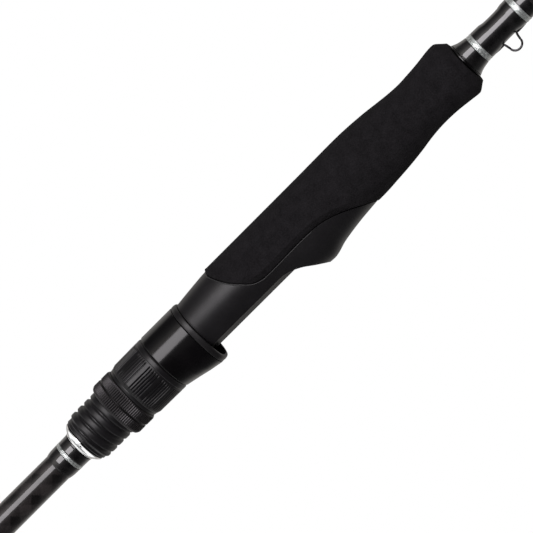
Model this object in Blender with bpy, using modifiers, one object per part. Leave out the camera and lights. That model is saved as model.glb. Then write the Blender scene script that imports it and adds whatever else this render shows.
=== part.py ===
"""Two-piece spinning rod, 1.98 m long, in metres.

World frame: +X runs along the rod to its tip, -Z is the side that the reel and the line guides hang on.
Everything is modelled in the frame of the empty rod_axis. In it z runs along the rod to its tip, x points
to the reel side and y across. Its origin is on the rod's axis at the middle of the reel seat's foot bed.
Sizes are in millimetres and are scaled by MM.
"""

import math

import bmesh
import bpy
from mathutils import Matrix, Vector

MM = 0.001
SIDES = 28  # facets round a grip or a seat part
SMALL_SIDES = 16  # facets round a blank, a thread wrap or a ring
GAP = 0.15  # room left between pieces that touch

# Blank: one straight taper from the butt to the tip, in two sections.
BUTT_END = -246.0
TIP_END = 1727.0
BLANK_RADIUS_AT_SEAT = 5.5
SEAT_REAR = -80.6
BLANK_TAPER = 0.00258
BUTT_SECTION_END = 800.0
TIP_SECTION_START = 740.0
SOCKET_END = 806.0

# Reel seat.
SEAT_BORE = 8.0
SEAT_FRONT = 57.0
THREAD_RADIUS = 9.95
THREAD_ROOT = 9.2
THREAD_PITCH = 3.3
THREAD_START = -76.85
THREAD_TURNS = 11
SHOULDER = -21.9
SHOULDER_RADIUS = 11.05
CORE_RADIUS = 10.3
BED = 9.6
BED_PAD_WIDTHS = ((SHOULDER + 0.2, 7.55), (-6.0, 9.1), (34.5, 9.1))  # z, half width of the pad's foot
BED_EDGE = 8.1
POCKET_FLAT = 8.8
BODY_RADIUS = 12.45
BODY_LINE = (
    (SHOULDER, SHOULDER_RADIUS, SHOULDER_RADIUS, 2.0),
    (-15.0, 11.75, 11.75, 2.0),
    (-6.0, BODY_RADIUS, BODY_RADIUS, 2.0),
    (12.0, BODY_RADIUS, BODY_RADIUS, 2.0),
    (16.0, BODY_RADIUS, 13.2, 2.1),
    (20.0, BODY_RADIUS, 14.6, 2.2),
    (26.0, BODY_RADIUS, 16.3, 2.2),
    (30.5, BODY_RADIUS, 16.85, 2.2),
    (33.5, BODY_RADIUS, 16.3, 2.2),
    (37.0, BODY_RADIUS, 15.25, 2.2),
    (42.0, BODY_RADIUS, 14.4, 2.2),
    (47.0, BODY_RADIUS, 13.75, 2.2),
    (52.0, BODY_RADIUS, 13.3, 2.1),
    (SEAT_FRONT, BODY_RADIUS, 12.9, 2.0),
)  # z, radius, depth to the reel side, roundness

# Movable hood and its nut, both at the front of their travel.
HOOD_REAR = -39.8
HOOD_FRONT = -22.1
RIM_REAR = -24.4
HOOD_HALF_WIDTH = 11.85
HOOD_DEPTH = 14.75
HOOD_BORE = 10.2
SHELL_WALL = 0.6
NUT_REAR = -56.1
NUT_FRONT = -40.1
NUT_RADIUS = 11.8
NUT_BORE = 10.15
NECK_RADIUS = 10.75
COLLAR_REAR = -65.2
COLLAR_FRONT = -56.4
COLLAR_GROOVE = -60.95
COLLAR_RADIUS = 11.65
RIB_GROUPS = 11
GROOVES_IN_GROUP = 5
GROOVE_STEP = math.radians(5.5)
GROOVE_REAR = -55.2
GROOVE_FRONT = -42.8
KNURL_TEETH = 72
KNURL_ROOT = 11.3

# Foregrip.
GRIP_FRONT = 112.6

# Line guides: station, ring outer diameter, ring bore, height of the ring's centre, wire radius, foot
# length and whether there are two feet.
GUIDES = (
    (640.0, 20.0, 16.4, 23.0, 0.80, 15.0, True),
    (862.0, 12.5, 9.8, 14.5, 0.65, 12.0, True),
    (1050.0, 9.4, 7.2, 9.8, 0.50, 9.0, False),
    (1215.0, 8.4, 6.2, 8.0, 0.45, 8.0, False),
    (1360.0, 7.2, 5.0, 6.8, 0.42, 8.0, False),
    (1490.0, 6.4, 4.4, 5.9, 0.40, 7.0, False),
    (1612.0, 6.4, 4.4, 5.5, 0.40, 7.0, False),
)
TIP_TOP = (1732.0, 6.4, 4.4, 5.6, 0.45)


def blank_radius(z):
    return BLANK_RADIUS_AT_SEAT - BLANK_TAPER * (z - SEAT_REAR)


# ---------------------------------------------------------------- scene and materials


def clear_scene():
    for obj in list(bpy.data.objects):
        bpy.data.objects.remove(obj)


def material(name, colour, roughness, metallic=0.0):
    made = bpy.data.materials.new(name)
    made.use_nodes = True
    shader = made.node_tree.nodes["Principled BSDF"]
    shader.inputs["Base Color"].default_value = (*colour, 1.0)
    shader.inputs["Roughness"].default_value = roughness
    shader.inputs["Metallic"].default_value = metallic
    return made


def collection(name):
    made = bpy.data.collections.new(name)
    bpy.context.scene.collection.children.link(made)
    return made


def empty(name, parent=None, location=(0.0, 0.0, 0.0)):
    made = bpy.data.objects.new(name, None)
    PARTS.objects.link(made)
    made.parent = parent
    made.location = location
    return made


clear_scene()
PARTS = collection("spinning_rod")
CUTTERS = collection("cutters")
ROD = empty("rod_axis")
ROD.rotation_euler = (0.0, math.radians(90), 0.0)
HOOD = empty("hood_axis", ROD)
NUT = empty("nut_axis", HOOD)
TIP = empty("tip_section_axis", ROD, (0.0, 0.0, TIP_SECTION_START * MM))

CARBON = material("carbon", (0.020, 0.020, 0.022), 0.15)
EVA = material("eva_foam", (0.030, 0.030, 0.032), 0.85)
SEAT = material("seat_soft_touch", (0.030, 0.030, 0.034), 0.45)
GLOSS = material("gloss_black", (0.012, 0.012, 0.013), 0.08)
NUT_PLASTIC = material("nut_plastic", (0.035, 0.035, 0.038), 0.40)
ALLOY = material("black_alloy", (0.040, 0.038, 0.038), 0.35, 0.9)
SILVER = material("silver", (0.80, 0.80, 0.80), 0.15, 1.0)
WRAP = material("thread_and_epoxy", (0.010, 0.010, 0.010), 0.05)
TRIM = material("silver_thread", (0.62, 0.63, 0.62), 0.30, 0.6)
STEEL = material("dark_steel", (0.12, 0.12, 0.12), 0.25, 1.0)
CERAMIC = material("ceramic", (0.02, 0.02, 0.02), 0.05)
RUBBER = material("rubber", (0.020, 0.020, 0.020), 0.70)
ARBOR = material("arbor", (0.10, 0.10, 0.10), 0.80)


# ---------------------------------------------------------------- building blocks


def place(obj, paint, parent):
    """Puts an object in the model. parent is an empty; the mesh is in the rod's frame."""
    PARTS.objects.link(obj)
    if paint is not None:
        obj.data.materials.clear()
        obj.data.materials.append(paint)
    obj.parent = parent
    if parent is TIP:
        obj.location = (0.0, 0.0, -TIP_SECTION_START * MM)
    return obj


def as_cutter(obj):
    CUTTERS.objects.link(obj)
    obj.parent = ROD
    obj.hide_render = True
    obj.display_type = "WIRE"
    return obj


def shade(mesh, angle=35.0):
    mesh.shade_smooth()
    mesh.set_sharp_from_angle(angle=math.radians(angle))


def mesh_of(obj):
    """An object's evaluated mesh as new data, with a curve's caps welded. The object is removed."""
    bpy.context.view_layer.update()
    graph = bpy.context.evaluated_depsgraph_get()
    mesh = bpy.data.meshes.new_from_object(obj.evaluated_get(graph))
    mesh.transform(obj.matrix_world)
    bpy.data.objects.remove(obj)
    build = bmesh.new()
    build.from_mesh(mesh)
    bmesh.ops.remove_doubles(build, verts=build.verts, dist=1e-6)
    bmesh.ops.recalc_face_normals(build, faces=build.faces)
    build.to_mesh(mesh)
    build.free()
    return mesh


def line_object(name, points, closed):
    """A polyline of (x, y, z) in millimetres as a mesh of edges."""
    count = len(points)
    edges = [(i, (i + 1) % count) for i in range(count if closed else count - 1)]
    mesh = bpy.data.meshes.new(name)
    mesh.from_pydata([Vector(p) * MM for p in points], edges, [])
    return bpy.data.objects.new(name, mesh)


def turned(name, profile, sides, closed=True, offset=0.0, turns=1):
    """A profile of (z, r) turned about the rod's axis, running down its outer side first."""
    obj = line_object(name, [(r, 0.0, z) for z, r in profile], closed)
    screw = obj.modifiers.new("turn", "SCREW")
    screw.steps = screw.render_steps = sides
    screw.iterations = turns
    screw.screw_offset = offset * MM
    screw.use_merge_vertices = offset == 0.0
    screw.merge_threshold = 1e-5
    screw.use_smooth_shade = True
    return obj


def bar(name, low, high, radius):
    """A solid round bar along the axis."""
    return turned(name, [(high, 0.0), (high, radius), (low, radius), (low, 0.0)], SIDES, closed=False)


def sleeve(name, outer, inner, paint, parent=None, sides=SMALL_SIDES):
    """A tube round the axis. outer and inner are (z, r) from the butt side to the tip side."""
    profile = list(reversed(outer)) + list(inner)
    return place(turned(name, profile, sides), paint, parent or ROD)


def section(depth, half_width, power, top, count=SIDES):
    """Points (x, y) round a section: round on top, and as deep as depth at the reel side."""
    points = []
    for i in range(count):
        angle = 2 * math.pi * i / count
        c, s = math.cos(angle), math.sin(angle)
        if c > 0:
            reach = (abs(c / depth) ** power + abs(s / half_width) ** power) ** (-1 / power)
        else:
            reach = 1 / math.hypot(c / top, s / half_width)
        points.append((reach * c, reach * s))
    return points


def arch(ceiling, half_width, count=13):
    """Points (x, y) round the space over the foot bed: a flat floor and a rounded ceiling."""
    points = []
    floor = BED_EDGE - 0.06
    for i in range(count):
        angle = math.pi * (i / (count - 1) - 0.5)
        rise = (ceiling - floor) * max(math.cos(angle), 0.0) ** 0.7
        points.append((floor + rise, half_width * math.copysign(abs(math.sin(angle)) ** 0.7, angle)))
    return points


def loft(name, rings, closed=False):
    """A mesh through rings of (z, points). A closed loft joins its last ring to its first."""
    build = bmesh.new()
    rows = [[build.verts.new(Vector((x, y, z)) * MM) for x, y in ring] for z, ring in rings]
    count = len(rows[0])
    for a, b in zip(rows, rows[1:] + rows[:1] if closed else rows[1:]):
        for i in range(count):
            j = (i + 1) % count
            build.faces.new((a[i], a[j], b[j], b[i]))
    if not closed:
        build.faces.new(rows[0])
        build.faces.new(rows[-1])
    bmesh.ops.recalc_face_normals(build, faces=build.faces)
    mesh = bpy.data.meshes.new(name)
    build.to_mesh(mesh)
    build.free()
    shade(mesh)
    return bpy.data.objects.new(name, mesh)


def plate(name, outline, half_thickness, turn):
    """A flat outline, extruded both ways and set in place by the matrix turn, as a mesh."""
    data = bpy.data.curves.new(name, "CURVE")
    data.dimensions = "2D"
    data.fill_mode = "BOTH"
    data.extrude = half_thickness * MM
    spline = data.splines.new("POLY")
    spline.points.add(len(outline) - 1)
    for point, (u, v) in zip(spline.points, outline):
        point.co = (u * MM, v * MM, 0.0, 1.0)
    spline.use_cyclic_u = True
    curve = bpy.data.objects.new(name + "_curve", data)
    bpy.context.scene.collection.objects.link(curve)
    curve.matrix_world = turn
    return bpy.data.objects.new(name, mesh_of(curve))


# Sets an outline of (z, x) in place, extruded along y.
SIDE_VIEW = Matrix(((0, 1, 0, 0), (0, 0, 1, 0), (1, 0, 0, 0), (0, 0, 0, 1)))


def box(name, low, high):
    build = bmesh.new()
    bmesh.ops.create_cube(build, size=1.0)
    size = Vector(high) - Vector(low)
    middle = (Vector(high) + Vector(low)) / 2
    bmesh.ops.scale(build, vec=size * MM, verts=build.verts)
    bmesh.ops.translate(build, vec=middle * MM, verts=build.verts)
    mesh = bpy.data.meshes.new(name)
    build.to_mesh(mesh)
    build.free()
    return bpy.data.objects.new(name, mesh)


def wire(name, points, radius, caps=True, sides=2):
    """A round wire along points in millimetres, as a mesh object."""
    data = bpy.data.curves.new(name, "CURVE")
    data.dimensions = "3D"
    data.bevel_depth = radius * MM
    data.bevel_resolution = sides
    data.use_fill_caps = caps
    spline = data.splines.new("POLY")
    spline.points.add(len(points) - 1)
    for point, place_mm in zip(spline.points, points):
        point.co = (*(Vector(place_mm) * MM), 1.0)
    curve = bpy.data.objects.new(name + "_curve", data)
    bpy.context.scene.collection.objects.link(curve)
    mesh = mesh_of(curve)
    shade(mesh, 50.0)
    return bpy.data.objects.new(name, mesh)


def combine(obj, other, operation):
    cut = obj.modifiers.new(operation.lower(), "BOOLEAN")
    cut.operation = operation
    cut.object = other
    cut.solver = "EXACT"
    return obj


def helix_cutter(name, half_root, half_mouth, root, mouth, start, turns):
    """A solid helical bar of trapezoid section, for a thread's groove or its ridge."""
    profile = [
        (start + half_mouth, mouth),
        (start - half_mouth, mouth),
        (start - half_root, root),
        (start + half_root, root),
    ]
    line = turned(name + "_line", profile, SIDES - 4, offset=THREAD_PITCH, turns=turns)
    line.rotation_euler.z = math.radians(5)
    bpy.context.scene.collection.objects.link(line)
    mesh = mesh_of(line)
    build = bmesh.new()
    build.from_mesh(mesh)
    bmesh.ops.holes_fill(build, edges=build.edges)
    bmesh.ops.recalc_face_normals(build, faces=build.faces)
    build.to_mesh(mesh)
    build.free()
    return bpy.data.objects.new(name, mesh)


# ---------------------------------------------------------------- blank


def make_blank():
    butt_bore = [(BUTT_END, blank_radius(BUTT_END) - 1.1), (BUTT_SECTION_END, 2.4)]
    butt = [(z, blank_radius(z)) for z in (BUTT_END, BUTT_SECTION_END)]
    sleeve("butt_section_blank", butt, butt_bore, CARBON)
    socket = [(z, blank_radius(z) + GAP) for z in (TIP_SECTION_START, BUTT_SECTION_END + 3)]
    outer = [
        (TIP_SECTION_START, 4.30),
        (SOCKET_END, 4.15),
        (SOCKET_END + 18, blank_radius(SOCKET_END + 18)),
        (TIP_END, blank_radius(TIP_END)),
    ]
    inner = socket + [(SOCKET_END + 2, 2.3), (TIP_END, 0.35)]
    sleeve("tip_section_blank", outer, inner, CARBON, TIP)


# ---------------------------------------------------------------- butt end


def make_butt():
    grip = [
        (-238.0, 11.9), (-236.5, 12.9), (-230.0, 13.4), (-222.0, 13.2), (-208.0, 12.2),
        (-192.0, 10.9), (-176.0, 10.0), (-160.0, 9.4), (-152.0, 9.1), (-150.2, 8.3),
    ]
    bore = [(z, blank_radius(z) + GAP) for z in (-238.0, -150.2)]
    sleeve("rear_grip", grip, bore, EVA, sides=SIDES)
    ring = [(-149.9, 8.0), (-148.6, 7.8), (-147.2, 6.9)]
    bore = [(z, blank_radius(z) + GAP) for z in (-149.9, -147.2)]
    sleeve("rear_grip_check", ring, bore, SILVER, sides=SIDES)
    ring = [(-240.4, 12.2), (-240.1, 12.6), (-238.6, 12.6), (-238.3, 12.2)]
    bore = [(z, blank_radius(z) + GAP) for z in (-240.4, -238.3)]
    sleeve("butt_trim_ring", ring, bore, ALLOY, sides=SIDES)
    cap = [
        (-252.0, 0.0), (-252.0, 10.0), (-251.0, 11.8), (-248.5, 12.8), (-244.0, 13.0), (-240.7, 12.4),
        (-240.7, 6.1), (-246.4, 6.1), (-246.4, 0.0),
    ]
    place(turned("butt_cap", list(reversed(cap)), SIDES, closed=False), RUBBER, ROD)


# ---------------------------------------------------------------- reel seat

EVA_EDGE = (
    (-6.1, -14.0), (-6.0, -11.5), (-4.6, -8.5), (-1.8, -3.9), (1.4, -0.3), (4.4, 2.5), (7.4, 3.75),
    (10.5, 4.1), (20.0, 4.0), (28.0, 3.9), (36.0, 4.4), (43.0, 6.3), (50.3, 9.85), (55.5, 12.9),
    (57.6, 15.0),
)  # (z, x) of the line where the foam ends, seen from the side


def eva_region(name, inset):
    """The space that the foam takes, as a plate through the rod; inset moves its edge into the foam."""
    edge = []
    for i, (z, x) in enumerate(EVA_EDGE):
        before, after = EVA_EDGE[max(i - 1, 0)], EVA_EDGE[min(i + 1, len(EVA_EDGE) - 1)]
        run = Vector((after[0] - before[0], after[1] - before[1])).normalized()
        edge.append((z + run.y * inset, x - run.x * inset))
    outline = edge + [(58.0 + inset, 30.0), (130.0, 30.0), (130.0, -30.0), (edge[0][0], -30.0)]
    return plate(name, outline, 30.0, SIDE_VIEW)


def pad_section(half_width):
    """Points (x, y) round the raised pad of the foot bed: a flat top between two sloping shoulders."""
    side = [
        (BED_EDGE - 0.5, half_width), (BED_EDGE - 0.15, half_width), (BED_EDGE + 0.3, half_width - 1.4),
        (BED, half_width - 3.4),
    ]
    return side + [(x, -y) for x, y in reversed(side)]


def make_seat():
    barrel = [
        (SHOULDER + 4.0, 0.0), (SHOULDER + 4.0, THREAD_RADIUS), (THREAD_START - 1.1, THREAD_RADIUS),
        (THREAD_START - 1.8, THREAD_ROOT), (SEAT_REAR + 0.5, THREAD_ROOT), (SEAT_REAR, 8.7),
        (SEAT_REAR, 0.0),
    ]
    seat = place(turned("seat_body", barrel, SIDES, closed=False), SEAT, ROD)
    rings = [(z, section(depth, radius, power, radius)) for z, radius, depth, power in BODY_LINE]
    combine(seat, as_cutter(loft("seat_front", rings)), "UNION")

    lip = [
        (SHOULDER - 0.5, BED_EDGE), (12.5, BED_EDGE), (15.5, 8.5), (18.4, 9.55), (21.4, 11.2), (24.4, 13.5),
        (27.4, 15.7), (29.0, 20.0), (SHOULDER - 0.5, 20.0),
    ]
    combine(seat, as_cutter(plate("mouth", lip, 20.0, SIDE_VIEW)), "DIFFERENCE")
    pocket_rings = [(z, arch(ceiling, 8.3)) for z, ceiling in ((16.0, 14.6), (31.0, 14.4), (33.5, 13.2))]
    combine(seat, as_cutter(loft("pocket", pocket_rings)), "DIFFERENCE")
    pad = loft("bed_pad", [(z, pad_section(half_width)) for z, half_width in BED_PAD_WIDTHS])
    combine(seat, as_cutter(pad), "UNION")
    flat = box("hood_flat", (POCKET_FLAT, -12.0, HOOD_REAR - 0.5), (12.0, 12.0, SHOULDER - 0.2))
    combine(seat, as_cutter(flat), "DIFFERENCE")
    keyway = box("keyway", (-12.0, -1.4, HOOD_REAR - 16.0), (-9.0, 1.4, SHOULDER + 0.3))
    combine(seat, as_cutter(keyway), "DIFFERENCE")
    groove = helix_cutter("thread_groove", 0.38, 0.90, THREAD_ROOT, 10.5, THREAD_START, THREAD_TURNS)
    combine(seat, as_cutter(groove), "DIFFERENCE")

    foam = as_cutter(eva_region("foam_space", 0.0))
    core = as_cutter(bar("seat_core", -20.0, 70.0, CORE_RADIUS))
    core.rotation_euler.z = math.radians(4)
    combine(foam, core, "DIFFERENCE")
    combine(seat, foam, "DIFFERENCE")
    combine(seat, as_cutter(bar("seat_bore", -90.0, 70.0, SEAT_BORE)), "DIFFERENCE")


def make_arbors():
    """Spacers that centre the blank in the seat."""
    for name, low, high in (("rear", -78.0, -60.0), ("middle", -12.0, 6.0), ("front", 38.0, 55.0)):
        outer = [(low, SEAT_BORE - GAP), (high, SEAT_BORE - GAP)]
        inner = [(z, blank_radius(z) + GAP) for z in (low, high)]
        sleeve(f"seat_arbor_{name}", outer, inner, ARBOR, sides=SIDES)


def hood_depth(z):
    """How far the hood reaches to the reel side: it opens from a round rear to a deep mouth."""
    share = min(max((z + 38.6) / 12.6, 0.0), 1.0)
    return HOOD_HALF_WIDTH + (HOOD_DEPTH - HOOD_HALF_WIDTH) * share


def hood_ring(z, inset):
    return z, section(hood_depth(z) - inset, HOOD_HALF_WIDTH - inset, 2.7, HOOD_HALF_WIDTH - inset)


def make_hood():
    front = RIM_REAR - 0.2
    stations = ((HOOD_REAR, 0.3), (-39.2, 0.0), (-32.0, 0.0), (front, 0.0))
    outer = [hood_ring(z, inset) for z, inset in stations]
    inner = [hood_ring(z, SHELL_WALL) for z in (front, -32.0, -38.6, HOOD_REAR)]
    place(loft("movable_hood_shell", outer + inner, closed=True), GLOSS, HOOD)

    under = SHELL_WALL + 0.2
    rim_rings = [hood_ring(z, under) for z in (HOOD_REAR + 0.2, -38.6, -32.0, RIM_REAR)]
    rim_rings += [hood_ring(RIM_REAR, 0.05), hood_ring(HOOD_FRONT - 0.6, 0.0), hood_ring(HOOD_FRONT, 0.5)]
    bore_rings = []
    for z in (HOOD_FRONT, -26.5, -32.0, -38.6, HOOD_REAR + 0.2):
        depth = max(hood_depth(z) - under - 0.55, HOOD_BORE)
        bore_rings.append((z, section(depth, HOOD_BORE, 3.0, HOOD_BORE)))
    insert = place(loft("hood_insert", rim_rings + bore_rings, closed=True), SEAT, HOOD)
    key = as_cutter(box("hood_key", (-10.5, -1.1, HOOD_REAR + 0.6), (-9.25, 1.1, HOOD_FRONT - 0.6)))
    combine(insert, key, "UNION")


def toothed(radius):
    """Points round one section of the collar: its teeth show wherever it is wider than their roots."""
    points = []
    for i in range(2 * KNURL_TEETH):
        reach = radius if i % 2 else min(radius, KNURL_ROOT)
        angle = math.pi * i / KNURL_TEETH
        points.append((reach * math.cos(angle), reach * math.sin(angle)))
    return points


def make_nut():
    outer = [
        (COLLAR_REAR + 0.8, NECK_RADIUS), (NUT_REAR - 0.2, NECK_RADIUS), (NUT_REAR, 11.0),
        (NUT_REAR + 1.0, 11.2), (NUT_REAR + 2.4, 11.65), (NUT_FRONT - 0.5, NUT_RADIUS),
        (NUT_FRONT, NUT_RADIUS - 0.4),
    ]
    bore = [(COLLAR_REAR + 0.8, NUT_BORE), (NUT_FRONT, NUT_BORE)]
    nut = sleeve("lock_nut", outer, bore, NUT_PLASTIC, NUT, SIDES + 12)
    grooves = bmesh.new()
    for group in range(RIB_GROUPS):
        for line in range(GROOVES_IN_GROUP):
            group_angle = 2 * math.pi * (group / RIB_GROUPS + 0.75)
            angle = group_angle + (line - (GROOVES_IN_GROUP - 1) / 2) * GROOVE_STEP
            turn = Matrix.Rotation(angle, 4, "Z")
            middle = Matrix.Translation(Vector((NUT_RADIUS, 0.0, (GROOVE_REAR + GROOVE_FRONT) / 2)) * MM)
            size = Matrix.Diagonal((0.9 * MM, 0.42 * MM, (GROOVE_FRONT - GROOVE_REAR) * MM, 1.0))
            bmesh.ops.create_cube(grooves, size=1.0, matrix=turn @ middle @ size)
    mesh = bpy.data.meshes.new("rib_grooves")
    grooves.to_mesh(mesh)
    grooves.free()
    combine(nut, as_cutter(bpy.data.objects.new("rib_grooves", mesh)), "DIFFERENCE")
    ridge_start = THREAD_START + 5 * THREAD_PITCH
    ridge = helix_cutter("nut_thread", 0.20, 0.42, 9.5, 10.45, ridge_start, 5)
    combine(nut, as_cutter(ridge), "UNION")

    rings = [
        (COLLAR_REAR, NECK_RADIUS + 0.3), (COLLAR_REAR + 1.1, COLLAR_RADIUS),
        (COLLAR_GROOVE - 0.5, COLLAR_RADIUS), (COLLAR_GROOVE, 11.1), (COLLAR_GROOVE + 0.5, COLLAR_RADIUS),
        (COLLAR_FRONT - 0.9, COLLAR_RADIUS), (COLLAR_FRONT, 11.15),
    ]
    bore = NECK_RADIUS + GAP
    rows = [(z, toothed(r)) for z, r in rings] + [(z, toothed(bore)) for z in (COLLAR_FRONT, COLLAR_REAR)]
    place(loft("knurled_collar", rows, closed=True), ALLOY, NUT)


def make_seat_checks():
    rings = [
        (-83.7, 6.35), (-83.6, 6.6), (-83.0, 6.6), (-82.9, 7.0), (-81.6, 8.0), (SEAT_REAR - 0.25, 8.85),
    ]
    bore = [(z, blank_radius(z) + GAP) for z in (-83.7, SEAT_REAR - 0.25)]
    sleeve("seat_rear_check", rings, bore, SILVER, sides=SIDES)
    rear, front = GRIP_FRONT + 0.2, GRIP_FRONT + 1.1
    rings = [(rear, 7.1), (rear + 0.2, 7.4), (rear + 0.7, 7.4), (front, 7.1)]
    bore = [(z, blank_radius(z) + GAP) for z in (rear, front)]
    sleeve("grip_front_check", rings, bore, GLOSS, sides=SIDES)


# ---------------------------------------------------------------- foregrip

GRIP_PROFILE = (
    (-7.0, 13.10, 0.0), (10.0, 13.10, 0.0), (40.0, 13.15, 0.0), (58.0, 13.30, 0.0), (66.0, 13.0, 0.1),
    (74.0, 12.4, 0.1), (80.0, 11.7, 0.1), (85.0, 11.0, 0.2), (90.0, 10.65, 0.3), (95.0, 10.72, 0.45),
    (100.0, 11.1, 0.5), (106.0, 11.8, 0.5), (109.0, 12.0, 0.4), (110.6, 11.2, 0.2), (GRIP_FRONT, 9.3, 0.0),
)  # z, radius, and how far the section's centre sits away from the reel side


def make_foregrip():
    rings = []
    for z, radius, lift in GRIP_PROFILE:
        rings.append((z, [(x - lift, y) for x, y in section(radius, radius, 2.0, radius)]))
    grip = place(loft("foregrip", rings), EVA, ROD)
    combine(grip, as_cutter(eva_region("foam_shape", 0.25)), "INTERSECT")
    blank = GRIP_FRONT + 10
    core = [
        (blank, 0.0), (blank, blank_radius(blank) + GAP), (60.0, blank_radius(60.0) + GAP),
        (SEAT_FRONT + 0.3, 8.6), (SEAT_FRONT + 0.3, CORE_RADIUS + 0.25), (-20.0, CORE_RADIUS + 0.25),
        (-20.0, 0.0),
    ]
    combine(grip, as_cutter(turned("grip_bore", core, SIDES, closed=False)), "DIFFERENCE")


# ---------------------------------------------------------------- thread wraps and hook keeper


def wrapped(name, rings, parent=None, slot=None):
    """A coated thread wrap. slot is (low z, high z, half width) of the room for a foot it holds down."""
    low, high = rings[0][0], rings[-1][0]
    bore = [(z, blank_radius(z) + GAP) for z in (low, high)]
    wrap = sleeve(name, rings, bore, WRAP, parent)
    if slot:
        reach = max(r for _, r in rings) + 1
        low_x = blank_radius(slot[1]) * 0.75
        cutter = box(name + "_slot", (low_x, -slot[2], slot[0]), (reach, slot[2], slot[1]))
        combine(wrap, as_cutter(cutter), "DIFFERENCE")
    return wrap


def trim_band(name, low, high, radius):
    """Three turns of metallic thread, side by side."""
    step = (high - low) / 3
    rings = [(low, radius - 0.12)]
    for i in range(3):
        rings.append((low + (i + 0.5) * step, radius))
        rings.append((low + (i + 1) * step, radius - 0.12))
    inner = [(low, radius - 0.3), (high, radius - 0.3)]
    sleeve(name, rings, inner, TRIM)


def make_handle_wraps():
    band = 5.72
    rings = [
        (-94.4, 5.7), (-92.4, 6.0), (-89.45, 6.1), (-89.45, band), (-87.85, band), (-87.85, 6.1),
        (-84.6, 6.15), (-83.9, 6.3),
    ]
    wrapped("seat_rear_wrap", rings)
    trim_band("seat_rear_trim", -89.35, -87.95, 6.15)
    front = 5.30
    rings = [
        (113.85, 7.2), (114.8, 6.7), (116.6, 6.2), (118.8, 5.85), (118.8, front), (121.2, front),
        (121.2, 5.75), (125.6, 5.7), (126.8, 5.3), (134.2, 5.25), (135.4, 5.7), (138.2, 5.7),
        (138.2, front), (140.6, front), (140.6, 5.65), (143.2, 5.6), (144.4, 5.15),
    ]
    wrapped("keeper_wrap", rings, slot=(122.2, 137.8, 0.62))
    trim_band("keeper_trim_rear", 118.9, 121.1, 5.82)
    trim_band("keeper_trim_front", 138.3, 140.5, 5.77)

    radius, floor, middle = 0.36, 5.5, 129.9
    loop = [(floor, 0.0, 122.5), (floor, 0.0, middle - 3.6), (floor + 0.3, 0.0, middle - 2.95)]
    for i in range(13):
        angle = math.pi * i / 12
        loop.append((8.0 + 2.4 * math.sin(angle), 0.0, middle - 2.5 * math.cos(angle)))
    loop += [(floor + 0.3, 0.0, middle + 2.95), (floor, 0.0, middle + 3.6), (floor, 0.0, 137.5)]
    place(wire("hook_keeper", loop, radius), STEEL, ROD)


def make_ferrule_wraps():
    low, high = TIP_SECTION_START + 1, TIP_SECTION_START + 16
    rings = [(low, 4.5), (low + 1, 4.85), (high - 2, 4.85), (high, 4.5)]
    sleeve("ferrule_wrap", rings, [(low, 4.3 + GAP), (high, 4.3 + GAP)], WRAP, TIP)
    low, high = TIP_SECTION_START - 14, TIP_SECTION_START - 1
    rings = [(low, 3.75), (low + 1.5, 4.1), (high - 1, 4.1), (high, 3.9)]
    wrapped("ferrule_stop_wrap", rings)


# ---------------------------------------------------------------- line guides


def ring_turned(name, z, height, outer_radius, bore_radius, thickness, parent):
    """A ceramic ring round its own axis, height away from the rod's."""
    half = thickness / 2
    groove = 0.25 * (outer_radius - bore_radius)
    rings = [
        (half, outer_radius - groove), (half * 0.6, outer_radius), (-half * 0.6, outer_radius),
        (-half, outer_radius - groove), (-half, bore_radius + groove), (0.0, bore_radius),
        (half, bore_radius + groove),
    ]
    ring = place(turned(name, rings, 20), CERAMIC, parent)
    ring.location += Vector((height, 0.0, z)) * MM
    return ring


def front_wire(z, height, loop_radius, base, wire_radius, foot):
    """Foot, leg, round the ring and back down: the side towards the tip."""
    side = 1.25 * wire_radius
    opening = math.radians(24)
    rise = height - base
    left = [
        (base, -side, z + 3.0 + foot),
        (base, -side, z + 3.0 + foot * 0.35),
        (base + 0.12 * rise, -side, z + 2.2),
    ]
    ring = []
    for i in range(23):
        angle = math.pi - opening - (2 * math.pi - 2 * opening) * i / 22
        ring.append((height + loop_radius * math.cos(angle), -loop_radius * math.sin(angle), z))
    right = [(x, -y, at) for x, y, at in reversed(left)]
    return left + ring + right


def rear_wire(z, height, loop_radius, base, wire_radius, foot):
    """The brace on the butt side of a two-footed guide: down from the ring, along the blank, and back."""
    side = 1.25 * wire_radius
    angle = math.radians(108)
    start = z - 3.4 - 0.4 * height
    end = start - foot
    left = [
        (height + loop_radius * math.cos(angle), -loop_radius * math.sin(angle), z - 0.1),
        (base + 0.14 * (height - base), -side * 1.2, z - 2.2 - 0.35 * height),
        (base, -side, start),
        (base, -side, end + side),
    ]
    turn = [(base, -side * 0.7, end + 0.3 * side), (base, 0.0, end), (base, side * 0.7, end + 0.3 * side)]
    right = [(x, -y, at) for x, y, at in reversed(left)]
    return left + turn + right


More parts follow.
